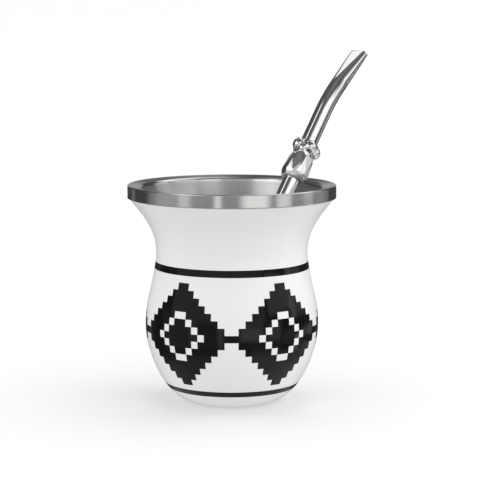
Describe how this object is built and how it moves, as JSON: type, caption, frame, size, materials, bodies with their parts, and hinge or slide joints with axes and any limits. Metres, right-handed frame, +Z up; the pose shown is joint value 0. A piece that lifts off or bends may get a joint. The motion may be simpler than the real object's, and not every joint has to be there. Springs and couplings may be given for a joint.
{
  "type": "mate cup with metal straw",
  "caption": "Flared double-wall steel cup with a narrow waist and round belly, bare steel rim band and inside, and a bent metal drinking straw with a cut bead leaning on the rim",
  "frame": {"origin": "centre of the cup's flat underside, where it stands", "axes": "+Z up along the cup's axis, out of its mouth; the straw leans out over the rim between +X and +Y; -Y is the side the picture is taken from"},
  "size_m": [0.0968, 0.0891, 0.1368],
  "materials": {
    "white_coat": "smooth satin-gloss white powder coat",
    "black_print": "gloss black printed ink over the coat",
    "bare_steel": "fine turned brushing, satin",
    "straw_steel": "polished stainless steel",
    "ornament_steel": "polished cast metal with cut facets",
    "strainer_steel": "satin stainless steel"
  },
  "bodies": {
    "root": {"cup_shell": "white_coat", "cup_liner": "bare_steel", "straw_tube": "straw_steel", "straw_ornament": "ornament_steel", "straw_strainer": "strainer_steel"}
  },
  "joints": []
}
